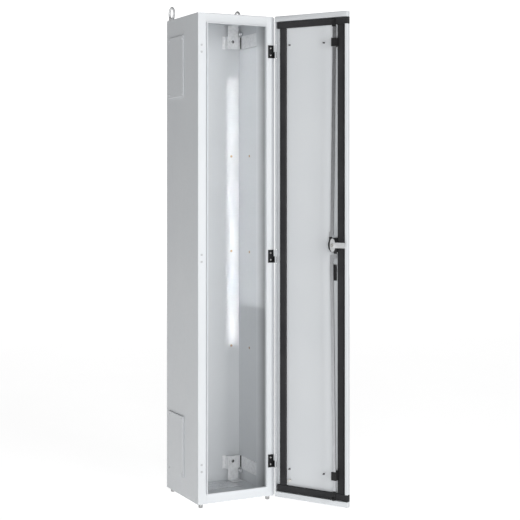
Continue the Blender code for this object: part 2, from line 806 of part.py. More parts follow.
def make_handle_outside():
    """The dish and its clamp stay with the door."""
    outside = ahead(DOOR_BACK + DOOR_DEPTH)
    dish = box(
        "handle_dish",
        (LOCK_X - DISH_HALF_WIDTH, outside - GAP - DISH_HEIGHT, DISH_BOTTOM),
        (LOCK_X + DISH_HALF_WIDTH, outside - GAP, DISH_TOP),
        "black_plastic",
        0.0015,
    )
    cut(dish, cylinder("hub_hole", (LOCK_X, outside, LOCK_Z), Y, HUB_RADIUS + 0.0004, 0.03, sides=32))
    skin = ahead(DOOR_SKIN - GAP)
    box(
        "handle_clamp",
        (CLAMP_X - CLAMP_HALF_WIDTH, skin, CLAMP_Z - CLAMP_HALF_HEIGHT),
        (CLAMP_X + CLAMP_HALF_WIDTH, skin + CLAMP_DEPTH, CLAMP_Z + CLAMP_HALF_HEIGHT),
        "black_plastic",
    )


def make_lever():
    y = lever_axis_y()
    lever = box(
        "handle_lever",
        (LOCK_X - LEVER_HALF_WIDTH, y - LEVER_HALF, LOCK_Z - LEVER_LENGTH),
        (LOCK_X + LEVER_HALF_WIDTH, y + LEVER_HALF, LOCK_Z),
        "hinge_black",
    )
    tip = cylinder("lever_tip", (LOCK_X, y, LOCK_Z), X, LEVER_HALF, 2 * LEVER_HALF_WIDTH - 0.0002)
    lever_bore = cylinder("lever_bore", (LOCK_X, y, LOCK_Z), X, LEVER_PIN + 0.0001, 0.05, sides=16)
    key_bore = cylinder("key_bore", (LOCK_X, y, KEY_Z), Y, KEY_RADIUS + 0.0002, 0.05)
    join(lever, tip)
    cut(lever, lever_bore, key_bore)


def make_key_cylinder():
    y = lever_axis_y()
    length = 2 * LEVER_HALF + 0.0015
    key = cylinder("key_cylinder", (LOCK_X, y - 0.0009, KEY_Z), Y, KEY_RADIUS, length, "steel")
    slot = box(
        "key_slot",
        (LOCK_X - 0.0008, y - length, KEY_Z - 0.004),
        (LOCK_X + 0.0008, y - LEVER_HALF + 0.003, KEY_Z + 0.004),
    )
    cut(key, slot)


def make_rod(level, up):
    """A flat bar from the cam to its roller; up is 1 for the upper rod and -1 for the lower.

    The bar is built upright about its guide's middle, then leans by the rods' small slant.
    """
    middle_z = HEIGHT - GUIDE_Z if up > 0 else GUIDE_Z
    guide = Vector((GUIDE_X, ahead(ROD_NEAR - ROD / 2), middle_z))
    pin = Vector((LOCK_X + up * CRANK_REACH, guide.y, LOCK_Z + up * CRANK_REACH))
    to_pin = abs(pin.z - guide.z)
    drift = math.tan(ROD_SLANT) * to_pin
    slot_x = LOCK_X + up * (CRANK_REACH + CRANK) / 2 - GUIDE_X - drift
    bar_half = ROD_WIDTH / 2
    edge_in = LOCK_X + up * (NECK + 0.0004) - GUIDE_X - drift
    edge_out = slot_x + up * 0.0061

    def span(name, x, y, z, finish=None):
        """A box in the rod's own frame: z runs outwards, away from the lock."""
        xs, zs = sorted(x), sorted((up * z[0], up * z[1]))
        return box(name, (xs[0], y[0], zs[0]), (xs[1], y[1], zs[1]), finish)

    start = -to_pin + ROD_START
    flat = (-ROD / 2, ROD / 2)
    thin, thinner = (flat[0] + 0.0001, flat[1] - 0.0001), (flat[0] + 0.0002, flat[1] - 0.0002)
    rod = span(level + "_rod", (-bar_half, bar_half), flat, (start, ROD_END), "zinc")
    tab = span(level + "_tab", (edge_in, edge_out), thin, (-to_pin - 0.0045, start + 0.012))
    foot_x = (min(edge_in, edge_out, -bar_half + 0.001), max(edge_in, edge_out, bar_half - 0.001))
    foot = span(level + "_foot", foot_x, thinner, (start + 0.001, start + 0.013))
    slot = span(
        level + "_slot",
        (slot_x - ROD_SLOT_HALF_WIDTH, slot_x + ROD_SLOT_HALF_WIDTH),
        (-0.01, 0.01),
        (-to_pin - ROD_SLOT_HALF_HEIGHT, -to_pin + ROD_SLOT_HALF_HEIGHT),
    )
    join(rod, foot, tab)
    cut(rod, slot)

    reach = guide.y - ahead(ROLLER_AHEAD)
    behind = (flat[1] + GAP, flat[1] + GAP + CARRIER)
    carrier = span(
        level + "_rod_end",
        (-bar_half + 0.0001, bar_half - 0.0001),
        behind,
        (CARRIER_FROM, CARRIER_TO),
        "black_plastic",
    )
    arm = span(
        level + "_arm",
        (-bar_half + 0.0002, -bar_half + 0.003),
        (behind[0] + 0.0001, behind[1] - 0.0001),
        (CARRIER_TO - 0.001, ROLLER_AT + 0.0032),
    )
    axle = cylinder(
        level + "_axle",
        (0.00005, -reach, up * ROLLER_AT),
        X, ROLLER_AXLE, ROD_WIDTH - 0.0006, sides=16,
    )
    join(carrier, arm, axle)
    lean = Matrix.Translation(guide) @ Matrix.Rotation(-up * ROD_SLANT, 4, "Y")
    for obj in (rod, tab, foot, slot, carrier, arm, axle):
        obj.matrix_world = lean @ Matrix.Translation(obj.location)
    return lean, reach


def make_roller(level, up, lean, reach):
    """A ring on the rod's axle, a turned rectangle."""
    inner, outer = ROLLER_AXLE + 0.0002, ROLLER
    half = ROLLER_LENGTH / 2
    shape = bmesh.new()
    corners = [(outer, half), (outer, -half), (inner, -half), (inner, half)]
    made = [shape.verts.new((x, 0, z)) for x, z in corners]
    for pair in zip(made, made[1:] + made[:1]):
        shape.edges.new(pair)
    obj = add(shape, level + "_roller", "black_plastic")
    turn = obj.modifiers.new("turn", "SCREW")
    turn.steps = 24
    turn.render_steps = 24
    turn.use_merge_vertices = True
    turn.merge_threshold = 0.00005
    centre = Vector((ROD_WIDTH / 2 - ROLLER_LENGTH / 2 - 0.0003, -reach, up * ROLLER_AT))
    obj.matrix_world = lean @ Matrix.Translation(centre) @ Matrix.Rotation(math.pi / 2, 4, "Y")


def hang(name, place, parent=None):
    """Put an empty on a joint's axis and let it carry its group."""
    empty = bpy.data.objects.new(name, None)
    PARTS.objects.link(empty)
    empty.empty_display_size = 0.03
    bpy.context.view_layer.update()
    empty.location = Vector(place) - (Vector(PIVOTS[parent]) if parent else Vector((0, 0, 0)))
    if parent:
        empty.parent = bpy.data.objects[parent]
    bpy.context.view_layer.update()
    for obj in GROUPS.get(name, []):
        obj.parent = empty
        obj.matrix_parent_inverse = empty.matrix_world.inverted()
    return empty


make_shell()
make_front()
make_side_covers()
make_brackets()
make_lifting_eyes()
make_feet()
make_hinges()

group = "door_pivot"
make_door()
make_gasket()
make_lock_body()
make_handle_outside()
group = "handle_pivot"
make_handle()
group = "lever_pivot"
make_lever()
group = "key_pivot"
make_key_cylinder()
rods = {}
for rod_level, rod_up in (("upper", 1), ("lower", -1)):
    group = rod_level + "_rod_pivot"
    rods[rod_level] = make_rod(rod_level, rod_up)
    group = rod_level + "_roller_pivot"
    make_roller(rod_level, rod_up, *rods[rod_level])
group = None

PIVOTS = {
    "door_pivot": (HINGE_X, ahead(HINGE_AHEAD), 0),
    "handle_pivot": (LOCK_X, ahead(0), LOCK_Z),
    "lever_pivot": (LOCK_X, lever_axis_y(), LOCK_Z),
    "key_pivot": (LOCK_X, lever_axis_y(), KEY_Z),
}
for rod_level, rod_up in (("upper", 1), ("lower", -1)):
    rod_lean, rod_reach = rods[rod_level]
    PIVOTS[rod_level + "_rod_pivot"] = rod_lean.translation[:]
    PIVOTS[rod_level + "_roller_pivot"] = (rod_lean @ Vector((0, -rod_reach, rod_up * ROLLER_AT)))[:]

door = hang("door_pivot", PIVOTS["door_pivot"])
hang("handle_pivot", PIVOTS["handle_pivot"], "door_pivot")
hang("lever_pivot", PIVOTS["lever_pivot"], "handle_pivot")
hang("key_pivot", PIVOTS["key_pivot"], "lever_pivot")
for rod_level in rods:
    hang(rod_level + "_rod_pivot", PIVOTS[rod_level + "_rod_pivot"], "door_pivot")
    hang(rod_level + "_roller_pivot", PIVOTS[rod_level + "_roller_pivot"], rod_level + "_rod_pivot")
door.rotation_euler = (0, 0, math.radians(DOOR_ANGLE))
bpy.context.view_layer.update()
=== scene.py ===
"""Looks of the narrow switchboard cabinet: finishes, fasteners, seals, light and camera."""

import json
import math

import bmesh
import bpy
from mathutils import Matrix, Vector


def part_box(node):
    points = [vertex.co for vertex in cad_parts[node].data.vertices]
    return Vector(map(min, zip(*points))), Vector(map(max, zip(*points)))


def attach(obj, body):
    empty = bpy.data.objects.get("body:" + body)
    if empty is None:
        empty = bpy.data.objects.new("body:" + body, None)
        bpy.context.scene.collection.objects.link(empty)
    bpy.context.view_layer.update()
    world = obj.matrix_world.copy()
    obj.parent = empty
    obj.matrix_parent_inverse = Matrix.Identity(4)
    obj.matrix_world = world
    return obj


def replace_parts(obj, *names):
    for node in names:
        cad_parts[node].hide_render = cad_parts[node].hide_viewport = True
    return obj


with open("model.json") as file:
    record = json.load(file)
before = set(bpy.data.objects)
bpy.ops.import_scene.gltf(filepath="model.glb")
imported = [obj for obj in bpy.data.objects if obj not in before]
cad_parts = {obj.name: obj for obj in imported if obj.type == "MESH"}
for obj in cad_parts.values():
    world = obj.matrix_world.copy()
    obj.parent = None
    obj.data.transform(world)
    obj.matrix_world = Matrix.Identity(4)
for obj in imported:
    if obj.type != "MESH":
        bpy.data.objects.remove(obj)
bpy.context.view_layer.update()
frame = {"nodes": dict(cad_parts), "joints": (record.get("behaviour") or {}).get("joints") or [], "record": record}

NODES = frame["nodes"]
JOINTS = {joint["name"]: joint for joint in frame["joints"]}
X, Y, Z = Vector((1, 0, 0)), Vector((0, 1, 0)), Vector((0, 0, 1))

# ---------------------------------------------------------------- places

HINGE = Vector(JOINTS["door_hinge"]["pos_m"])
CLOSED_TURN = math.radians(JOINTS["door_hinge"]["range_deg"][0])
ABOUT_HINGE = Matrix.Translation((HINGE.x, HINGE.y, 0))
OPEN = ABOUT_HINGE @ Matrix.Rotation(-CLOSED_TURN, 4, "Z") @ ABOUT_HINGE.inverted()
CLOSED = OPEN.inverted()
IDENTITY = Matrix.Identity(4)


def closed_box(node):
    """The box of a door node with the door shut."""
    points = [CLOSED @ vertex.co for vertex in NODES[node].data.vertices]
    low = Vector([min(point[axis] for point in points) for axis in range(3)])
    high = Vector([max(point[axis] for point in points) for axis in range(3)])
    return low, high


def middle(low_high):
    return (low_high[0] + low_high[1]) / 2


BODY_LOW, BODY_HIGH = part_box("left_side_panel")[0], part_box("right_side_panel")[1]
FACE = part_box("roof_panel")[0].y
BACK_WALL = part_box("back_panel")[0].y
SHEET = 0.0015
SIDE_WALL = BODY_HIGH.x - SHEET
DOOR_SKIN = closed_box("door_panel")[0].y + SHEET

# ---------------------------------------------------------------- sizes, in metres

HINGE_SCREW_IN = 0.0140         # from the body's side
HINGE_SCREW_STEP = 0.0128       # above and below the leaf's middle
LEAF_THICKNESS = 0.0027
COVER_SCREW_IN = 0.012          # from the cover's edges
INSERT_HEIGHTS = (0.530, 0.905, 1.280)
BACK_INSERT_IN = 0.034          # from the side wall
WALL_INSERT_BEHIND = 0.205      # behind the body's face

BRACKET_PLATE = 0.050           # height of the bracket's plate
BRACKET_FOOT = 0.044            # from the foot's front edge to the plate
BRACKET_HOLE_X = 0.11735
BRACKET_HOLE_DOWN = 0.021       # below the plate's top
BRACKET_BOLT_X = 0.1440
BRACKET_BOLT_AHEAD = 0.030      # in front of the bracket's rear
BRACKET_BOLT_END = 0.034        # from the foot
# the black strip by each bracket is painted shade, a dark sheet in the gap beside the bracket
SHADE_STRIP_WIDTH = 0.0032
SHADE_STRIP_DEPTH = 0.0034
SHADE_STRIP_SHORTER = 0.002             # at each end of the plate

STUD_BESIDE_SEAL = 0.012
STUD_BESIDE_GUIDE = 0.049
STUD_UP = 0.108                 # from the body's underside
STUD_DOWN = 0.110               # from the body's top

STRIP_OUT = 0.0032              # the corner strip stands this far off the side
STRIP_BEHIND = (0.0006, 0.0060) # its front and rear, behind the body's face
STRIP_SHORTER = 0.004           # at each end of the body

EYE_WIRE = 0.0045               # half the thickness of the ring
FOOT_RADIUS = 0.0085
FOOT_ROUNDING = 0.0030

# ---------------------------------------------------------------- angles, light and camera

SHARP = math.radians(32)        # edges that turn by more than this stay crisp

STAGE_TONE = 0.50
FLOOR_SIZE = 14
FLOOR_GLOW = 0.86
BACKDROP_SIZE = 4.2
BACKDROP_PLACE = (4.7, 9.0, 2.0)
BACKDROP_GLOW = 1.02
WORLD_GLOW = 0.10
BEAM_SLANT = math.radians(35)   # of the beams through the door opening
BEAM_REACH = 0.8
BEAM_LAMPS = 10
BEAM_SPREAD = 2.75              # degrees

CAMERA_PLACE = (-1.9588, -4.2628, 1.1888)
CAMERA_TURN = math.radians(-26.563)
CAMERA_LENS = 85.1              # for a sensor 36 mm wide
CAMERA_SHIFT = -0.155           # keeps the upright edges parallel


# ---------------------------------------------------------------- node materials

COLOUR_A, COLOUR_B, COLOUR_RESULT = 6, 7, 2     # a Mix node's colour sockets


class Finish:
    """A node material under construction, on one Principled shader."""

    def __init__(self, name):
        self.material = bpy.data.materials.new(name)
        self.material.use_nodes = True
        self.tree = self.material.node_tree
        self.shader = self.tree.nodes["Principled BSDF"]
        self.place = self.add("ShaderNodeTexCoord").outputs["Object"]

    def add(self, kind, **settings):
        node = self.tree.nodes.new(kind)
        for key, value in settings.items():
            setattr(node, key, value)
        return node

    def link(self, source, target):
        self.tree.links.new(source, target)

    def stretch(self, scale):
        """The object's own place, squeezed along its axes."""
        mapping = self.add("ShaderNodeMapping")
        mapping.inputs["Scale"].default_value = scale
        self.link(self.place, mapping.inputs["Vector"])
        return mapping.outputs["Vector"]

    def noise(self, scale, detail=2.0, roughness=0.5, place=None):
        node = self.add("ShaderNodeTexNoise")
        node.inputs["Scale"].default_value = scale
        node.inputs["Detail"].default_value = detail
        node.inputs["Roughness"].default_value = roughness
        self.link(place or self.place, node.inputs["Vector"])
        return node.outputs["Fac"]

    def cells(self, scale):
        node = self.add("ShaderNodeTexVoronoi")
        node.inputs["Scale"].default_value = scale
        self.link(self.place, node.inputs["Vector"])
        return node.outputs["Distance"]

    def calculate(self, operation, *values):
        """The output of a maths node, fed with sockets and numbers."""
        node = self.add("ShaderNodeMath", operation=operation)
        for socket, value in zip(node.inputs, values):
            if isinstance(value, float):
                socket.default_value = value
            else:
                self.link(value, socket)
        return node.outputs["Value"]

    def along(self, axis):
        """The place along X, Y or Z, in metres."""
        split = self.add("ShaderNodeSeparateXYZ")
        self.link(self.place, split.inputs["Vector"])
        return split.outputs[axis]

    def ramp(self, value, low, high, start=0.35, end=0.65):
        """Take a 0 to 1 pattern to a range of numbers."""
        node = self.add("ShaderNodeMapRange")
        node.inputs["From Min"].default_value = start
        node.inputs["From Max"].default_value = end
        node.inputs["To Min"].default_value = low
        node.inputs["To Max"].default_value = high
        self.link(value, node.inputs["Value"])
        return node.outputs["Result"]

    def mix(self, pattern, first, second):
        """Blend two colours, each a tuple or a socket, by a pattern."""
        node = self.add("ShaderNodeMix", data_type="RGBA")
        self.link(pattern, node.inputs["Factor"])
        for socket, colour in ((COLOUR_A, first), (COLOUR_B, second)):
            if isinstance(colour, tuple):
                node.inputs[socket].default_value = (*colour, 1)
            else:
                self.link(colour, node.inputs[socket])
        return node.outputs[COLOUR_RESULT]

    def colour(self, value):
        self.link(value, self.shader.inputs["Base Color"])

    def roughness(self, value):
        self.link(value, self.shader.inputs["Roughness"])

    def constant(self, **values):
        for name, value in values.items():
            self.shader.inputs[name.replace("_", " ")].default_value = value

    def bumps(self, *layers):
        """Each layer is a pattern and its height in metres."""
        normal = None
        for pattern, height in layers:
            bump = self.add("ShaderNodeBump")
            bump.inputs["Strength"].default_value = 1.0
            bump.inputs["Distance"].default_value = height
            self.link(pattern, bump.inputs["Height"])
            if normal:
                self.link(normal, bump.inputs["Normal"])
            normal = bump.outputs["Normal"]
        self.link(normal, self.shader.inputs["Normal"])


def powder_coat(name, light, dark):
    """Fine orange peel, a slow drift of the tone and scattered specks."""
    finish = Finish(name)
    drift = finish.ramp(finish.noise(3.5, 3.0), 0.0, 1.0)
    tone = finish.mix(drift, light, dark)
    specks = finish.ramp(finish.noise(900.0, 1.0), 0.0, 0.22, 0.60, 0.80)
    shade = tuple(0.82 * part for part in dark)
    finish.colour(finish.mix(specks, tone, shade))
    finish.roughness(finish.ramp(finish.noise(60.0, 3.0), 0.36, 0.50))
    finish.constant(Specular_IOR_Level=0.5, IOR=1.5)
    finish.bumps((finish.noise(420.0, 2.0), 0.00010), (finish.noise(1500.0, 1.0), 0.00004))
    return finish.material


def zinc_plate(name):
    """Bright zinc with faint rolling lines and crystal patches."""
    finish = Finish(name)
    tone = finish.ramp(finish.cells(70.0), 0.0, 1.0, 0.0, 0.9)
    base = finish.mix(tone, (0.80, 0.81, 0.82), (0.62, 0.63, 0.65))
    stains = finish.ramp(finish.noise(24.0, 4.0), 0.0, 0.35, 0.52, 0.75)
    finish.colour(finish.mix(stains, base, (0.55, 0.54, 0.50)))
    lines = finish.noise(1.0, 3.0, 0.6, finish.stretch((1400.0, 1400.0, 30.0)))
    finish.roughness(finish.ramp(lines, 0.24, 0.42))
    finish.constant(Metallic=1.0)
    finish.bumps((lines, 0.00002), (finish.noise(300.0, 2.0), 0.00004))
    return finish.material


def galvanised(name, metallic=0.30, tone=1.0):
    """Hot-dip zinc, chalky and pale, with faint crystal patches."""
    finish = Finish(name)
    patches = finish.ramp(finish.cells(110.0), 0.0, 1.0, 0.0, 0.9)
    light = tuple(tone * part for part in (0.80, 0.81, 0.82))
    dark = tuple(tone * part for part in (0.68, 0.69, 0.70))
    base = finish.mix(patches, light, dark)
    chalk = finish.ramp(finish.noise(60.0, 4.0), 0.0, 0.6, 0.45, 0.70)
    finish.colour(finish.mix(chalk, base, tuple(1.06 * part for part in light)))
    finish.roughness(finish.ramp(finish.noise(150.0, 3.0), 0.40, 0.60))
    finish.constant(Metallic=metallic)
    finish.bumps((finish.noise(400.0, 2.0), 0.00006))
    return finish.material


def post_paint(name, front, rear):
    """Powder coat on the posts with painted shade: darker towards the front, where the stile and the lip shade
    them.
    """
    finish = Finish(name)
    depth = finish.ramp(finish.along("Y"), 0.0, 1.0, front, rear)
    painted_shade_mask = finish.calculate("MULTIPLY_ADD", finish.noise(30.0, 4.0), 0.08, depth)
    clean = finish.mix(finish.noise(3.5, 3.0), (0.72, 0.74, 0.76), (0.70, 0.72, 0.74))
    # the dark colour is painted shade, blended in towards the front of the post
    finish.colour(finish.mix(painted_shade_mask, (0.16, 0.165, 0.17), clean))
    finish.roughness(finish.ramp(finish.noise(60.0, 3.0), 0.40, 0.54))
    finish.bumps((finish.noise(420.0, 2.0), 0.00010), (finish.noise(1500.0, 1.0), 0.00004))
    return finish.material


def plated_steel(name, clean=(0.72, 0.71, 0.69), dull=(0.40, 0.39, 0.37)):
    """Turned and plated fasteners: satin, with darker soil in patches."""
    finish = Finish(name)
    soil = finish.ramp(finish.noise(180.0, 4.0), 0.0, 0.6, 0.50, 0.75)
    finish.colour(finish.mix(soil, clean, dull))
    finish.roughness(finish.ramp(finish.noise(500.0, 2.0), 0.20, 0.38))
    finish.constant(Metallic=1.0)
    finish.bumps((finish.noise(900.0, 2.0), 0.00003))
    return finish.material


def dark_steel(name):
    """Oiled black oxide on small fasteners, rubbed bright in places."""
    finish = Finish(name)
    rubbed = finish.ramp(finish.noise(700.0, 3.0), 0.0, 0.7, 0.58, 0.72)
    finish.colour(finish.mix(rubbed, (0.10, 0.10, 0.105), (0.34, 0.33, 0.32)))
    finish.roughness(finish.ramp(finish.noise(500.0, 2.0), 0.32, 0.50))
    finish.constant(Metallic=0.9)
    finish.bumps((finish.noise(900.0, 2.0), 0.00003))
    return finish.material


def dipped_rod(name, lock_height, reach):
    """Zinc bar whose end by the lock is dipped in black nylon."""
    finish = Finish(name)
    distance = finish.calculate("ABSOLUTE", finish.calculate("SUBTRACT", finish.along("Z"), lock_height))
    wavy = finish.calculate("MULTIPLY_ADD", finish.noise(90.0, 2.0), 0.0015, distance)
    bare = finish.ramp(wavy, 0.0, 1.0, reach, reach + 0.0005)
    lines = finish.noise(1.0, 3.0, 0.6, finish.stretch((1400.0, 1400.0, 30.0)))
    zinc = finish.mix(finish.ramp(lines, 0.0, 1.0), (0.62, 0.63, 0.65), (0.46, 0.47, 0.49))
    nylon = finish.mix(finish.noise(40.0, 3.0), (0.010, 0.010, 0.011), (0.020, 0.020, 0.021))
    finish.colour(finish.mix(bare, nylon, zinc))
    finish.link(bare, finish.shader.inputs["Metallic"])
    finish.roughness(finish.ramp(lines, 0.26, 0.44))
    finish.bumps((lines, 0.00002), (finish.noise(300.0, 2.0), 0.00004))
    return finish.material


def cast_black(name):
    """Powder coat over a zinc casting, a little worn to grey."""
    finish = Finish(name)
    wear = finish.ramp(finish.noise(260.0, 4.0), 0.0, 0.5, 0.60, 0.80)
    finish.colour(finish.mix(wear, (0.007, 0.007, 0.008), (0.030, 0.030, 0.030)))
    finish.constant(Specular_IOR_Level=0.22)
    finish.roughness(finish.ramp(finish.noise(120.0, 3.0), 0.34, 0.52))
    finish.bumps((finish.noise(1100.0, 2.0), 0.00006))
    return finish.material


def moulded_plastic(name):
    """Black glass-filled nylon with a spark-eroded grain."""
    finish = Finish(name)
    finish.colour(finish.mix(finish.noise(40.0, 3.0), (0.008, 0.008, 0.009), (0.018, 0.018, 0.019)))
    finish.constant(Specular_IOR_Level=0.30)
    finish.roughness(finish.ramp(finish.noise(90.0, 3.0), 0.42, 0.60))
    finish.bumps((finish.cells(1300.0), 0.00004))
    return finish.material


def foam_rubber(name):
    """Sealing strip: closed-cell skin with fine pores and a dusty bloom."""
    finish = Finish(name)
    bloom = finish.ramp(finish.noise(16.0, 4.0), 0.0, 1.0)
    base = finish.mix(bloom, (0.026, 0.026, 0.028), (0.034, 0.034, 0.036))
    pores = finish.ramp(finish.cells(1400.0), 0.5, 0.0, 0.0, 0.3)
    finish.colour(finish.mix(pores, base, (0.016, 0.016, 0.017)))
    finish.roughness(finish.ramp(finish.noise(220.0, 3.0), 0.72, 0.92))
    finish.constant(Specular_IOR_Level=0.25)
    finish.bumps((finish.cells(1100.0), 0.00008), (finish.noise(160.0, 3.0), 0.00012))
    return finish.material


def hole_plug(name):
    """Grey moulded plug, a shade darker than the paint."""
    finish = Finish(name)
    finish.colour(finish.mix(finish.noise(200.0, 3.0), (0.46, 0.47, 0.48), (0.52, 0.53, 0.54)))
    finish.roughness(finish.ramp(finish.noise(300.0, 2.0), 0.40, 0.55))
    finish.bumps((finish.noise(1300.0, 2.0), 0.00004))
    return finish.material


def yellow_zinc(name):
    """Yellow-passivated inserts."""
    finish = Finish(name)
    finish.colour(finish.mix(finish.noise(350.0, 3.0), (0.62, 0.44, 0.26), (0.50, 0.38, 0.30)))
    finish.roughness(finish.ramp(finish.noise(500.0, 2.0), 0.28, 0.45))
    finish.constant(Metallic=1.0)
    finish.bumps((finish.noise(1200.0, 2.0), 0.00003))
    return finish.material


LOOKS = {
    "grey_paint": powder_coat("powder_coat_grey", (0.660, 0.680, 0.698), (0.640, 0.662, 0.682)),
    "zinc": zinc_plate("bright_zinc"),
    "steel": plated_steel("plated_steel"),
    "hinge_black": cast_black("cast_black"),
    "black_plastic": moulded_plastic("moulded_black"),
    "black_rubber": foam_rubber("foam_rubber"),
}
PLUG = hole_plug("grey_plug")
INSERT = yellow_zinc("yellow_zinc")
DARK = dark_steel("black_oxide")
GALVANISED = galvanised("galvanised")
PALE_ZINC = galvanised("pale_zinc", 0.20, 1.14)
CAM_ZINC = galvanised("cam_zinc", 0.50, 0.84)
WORN = plated_steel("worn_steel", (0.36, 0.36, 0.36), (0.20, 0.20, 0.19))
# the posts' powder coat carries painted shade towards the front
SHADED_POST = post_paint("post_paint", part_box("right_post")[0].y + 0.010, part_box("right_post")[1].y)
ROD = dipped_rod("dipped_rod", middle(closed_box("cam_screw")).z, 0.031)


SLOTS = {row["node"]: row["material_slot"] for row in frame["record"]["subparts"]}
BODY_OF = {
    node: body for body, nodes in frame["record"]["behaviour"]["bodies"].items() for node in nodes
}


def look_of(node):
    """A node's finish: its slot's, except where one kind of piece has its own."""
    # the posts get painted shade towards the front
    if node.endswith("_post"):
        return SHADED_POST
    if node in ("upper_rod", "lower_rod"):
        return ROD
    if node.startswith(("corner_bracket", "side_rail")):
        return PALE_ZINC
    if node == "lock_cam":
        return CAM_ZINC
    if node.startswith("lifting_eye"):
        return GALVANISED
    return LOOKS[SLOTS[node]]


def finish_nodes():
    for name, node in NODES.items():
        node.data.materials.clear()
        node.data.materials.append(look_of(name))


# ---------------------------------------------------------------- mesh helpers

def finished(shape, name, material, smooth=True):
    mesh = bpy.data.meshes.new(name)
    shape.to_mesh(mesh)
    shape.free()
    mesh.materials.append(material)
    if smooth:
        mesh.shade_smooth()
        mesh.set_sharp_from_angle(angle=SHARP)
    obj = bpy.data.objects.new(name, mesh)
    bpy.context.scene.collection.objects.link(obj)
    return obj


def settle(obj):
    """Apply the object's modifiers to its mesh."""
    bpy.context.view_layer.update()
    graph = bpy.context.evaluated_depsgraph_get()
    mesh = bpy.data.meshes.new_from_object(obj.evaluated_get(graph))
    obj.modifiers.clear()
    obj.data = mesh
    return obj


def lathe(profile, sides=32):
    """Turn (radius, height) points about Z; ends on the axis are closed."""
    shape = bmesh.new()
    rings = []
    for radius, height in profile:
        if radius < 1e-7:
            rings.append([shape.verts.new((0, 0, height))])
            continue
        ring = []
        for side in range(sides):
            angle = 2 * math.pi * side / sides
            ring.append(shape.verts.new((radius * math.cos(angle), radius * math.sin(angle), height)))
        rings.append(ring)
    for lower, upper in zip(rings, rings[1:]):
        for side in range(sides):
            after = (side + 1) % sides
            turns = ((lower, side), (lower, after), (upper, after), (upper, side))
            corners = [ring[step % len(ring)] for ring, step in turns]
            unique = list(dict.fromkeys(corners))
            if len(unique) > 2:
                shape.faces.new(unique)
    bmesh.ops.recalc_face_normals(shape, faces=shape.faces)
    return shape


def block(low, high):
    shape = bmesh.new()
    bmesh.ops.create_cube(shape, size=1)
    low, high = Vector(low), Vector(high)
    bmesh.ops.scale(shape, vec=high - low, verts=shape.verts)
    bmesh.ops.translate(shape, vec=(low + high) / 2, verts=shape.verts)
    return shape


def carve(obj, tool):
    cutting = obj.modifiers.new("cut", "BOOLEAN")
    cutting.operation = "DIFFERENCE"
    cutting.solver = "EXACT"
    cutting.object = tool
    settle(obj)
    bpy.data.objects.remove(tool, do_unlink=True)
    return obj


def rounded(obj, width, segments):
    bevel = obj.modifiers.new("rounding", "BEVEL")
    bevel.width = width
    bevel.segments = segments
    bevel.limit_method = "ANGLE"
    bevel.angle_limit = SHARP
    bevel.harden_normals = True
    return settle(obj)


def refined(node, width, segments):
    """Rebuild a CAD node's own shape with rounded edges and smooth turned faces."""
    shape = bmesh.new()
    shape.from_mesh(NODES[node].data)
    bmesh.ops.remove_doubles(shape, verts=shape.verts, dist=0.00001)
    bmesh.ops.dissolve_limit(
        shape, angle_limit=math.radians(1), use_dissolve_boundaries=False,
        verts=shape.verts, edges=shape.edges, delimit=set(),
    )
    piece = finished(shape, "fine_" + node, look_of(node))
    if width:
        rounded(piece, width, segments)
    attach(piece, BODY_OF[node])
    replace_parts(piece, node)
    return piece


def facing(place, direction, turn=0.0, move=IDENTITY):
    """A matrix that puts a piece at a place with its +Z along a direction."""
    aim = Vector(direction).to_track_quat("Z", "Y").to_matrix().to_4x4()
    return move @ Matrix.Translation(place) @ aim @ Matrix.Rotation(turn, 4, "Z")


def put(mesh, name, matrix, body):
    obj = bpy.data.objects.new(name, mesh)
    bpy.context.scene.collection.objects.link(obj)
    obj.matrix_world = matrix
    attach(obj, body)
    return obj


def mesh_of(obj):
    """Keep an object's mesh to share, and drop the object."""
    mesh = obj.data
    bpy.data.objects.remove(obj)
    return mesh


# ---------------------------------------------------------------- fasteners

def pan_head(radius, height, material, name):
    """A domed screw head with a cross recess."""
    steps = 7
    profile = [(0.0, 0.0), (radius * 0.96, 0.0), (radius, height * 0.18)]
    for step in range(1, steps):
        angle = math.pi / 2 * step / steps
        profile.append((radius * math.cos(angle), height * (0.18 + 0.82 * math.sin(angle))))
    profile.append((0.0, height))
    head = finished(lathe(profile), name, material)
    reach, half_width = radius * 0.55, radius * 0.11
    for turn in (0.0, math.pi / 2):
        arm = block((-reach, -half_width, height * 0.45), (reach, half_width, height * 1.5))
        bmesh.ops.rotate(arm, matrix=Matrix.Rotation(turn, 3, "Z"), verts=arm.verts)
        head = carve(head, finished(arm, "recess", material, False))
    head.data.set_sharp_from_angle(angle=SHARP)
    return mesh_of(head)


def socketed(head, radius, depth, height, material):
    """Cut a hexagon socket into a head, centred at a height."""
    shape = bmesh.new()
    bmesh.ops.create_cone(shape, cap_ends=True, segments=6, radius1=radius, radius2=radius, depth=depth)
    bmesh.ops.translate(shape, vec=(0, 0, height), verts=shape.verts)
    head = carve(head, finished(shape, "socket", material, False))
    head.data.set_sharp_from_angle(angle=SHARP)
    return mesh_of(head)


def plug_cap(radius, material, name):
    """A flat-domed hole plug with a ring groove."""
    profile = [
        (0, 0), (radius, 0), (radius, 0.0005), (radius * 0.93, 0.0010), (radius * 0.72, 0.0012),
        (radius * 0.66, 0.0009), (radius * 0.60, 0.0012), (radius * 0.30, 0.0015), (0, 0.0016),
    ]
    return mesh_of(finished(lathe(profile), name, material))


def rivet_nut(material, name):
    """A flanged threaded insert, open in the middle."""
    profile = [
        (0, 0.0001), (0.0021, 0.0001), (0.0023, 0.0010), (0.0030, 0.0014), (0.0043, 0.0012),
        (0.0048, 0.0006), (0.0048, 0),
    ]
    return mesh_of(finished(lathe(profile), name, material))


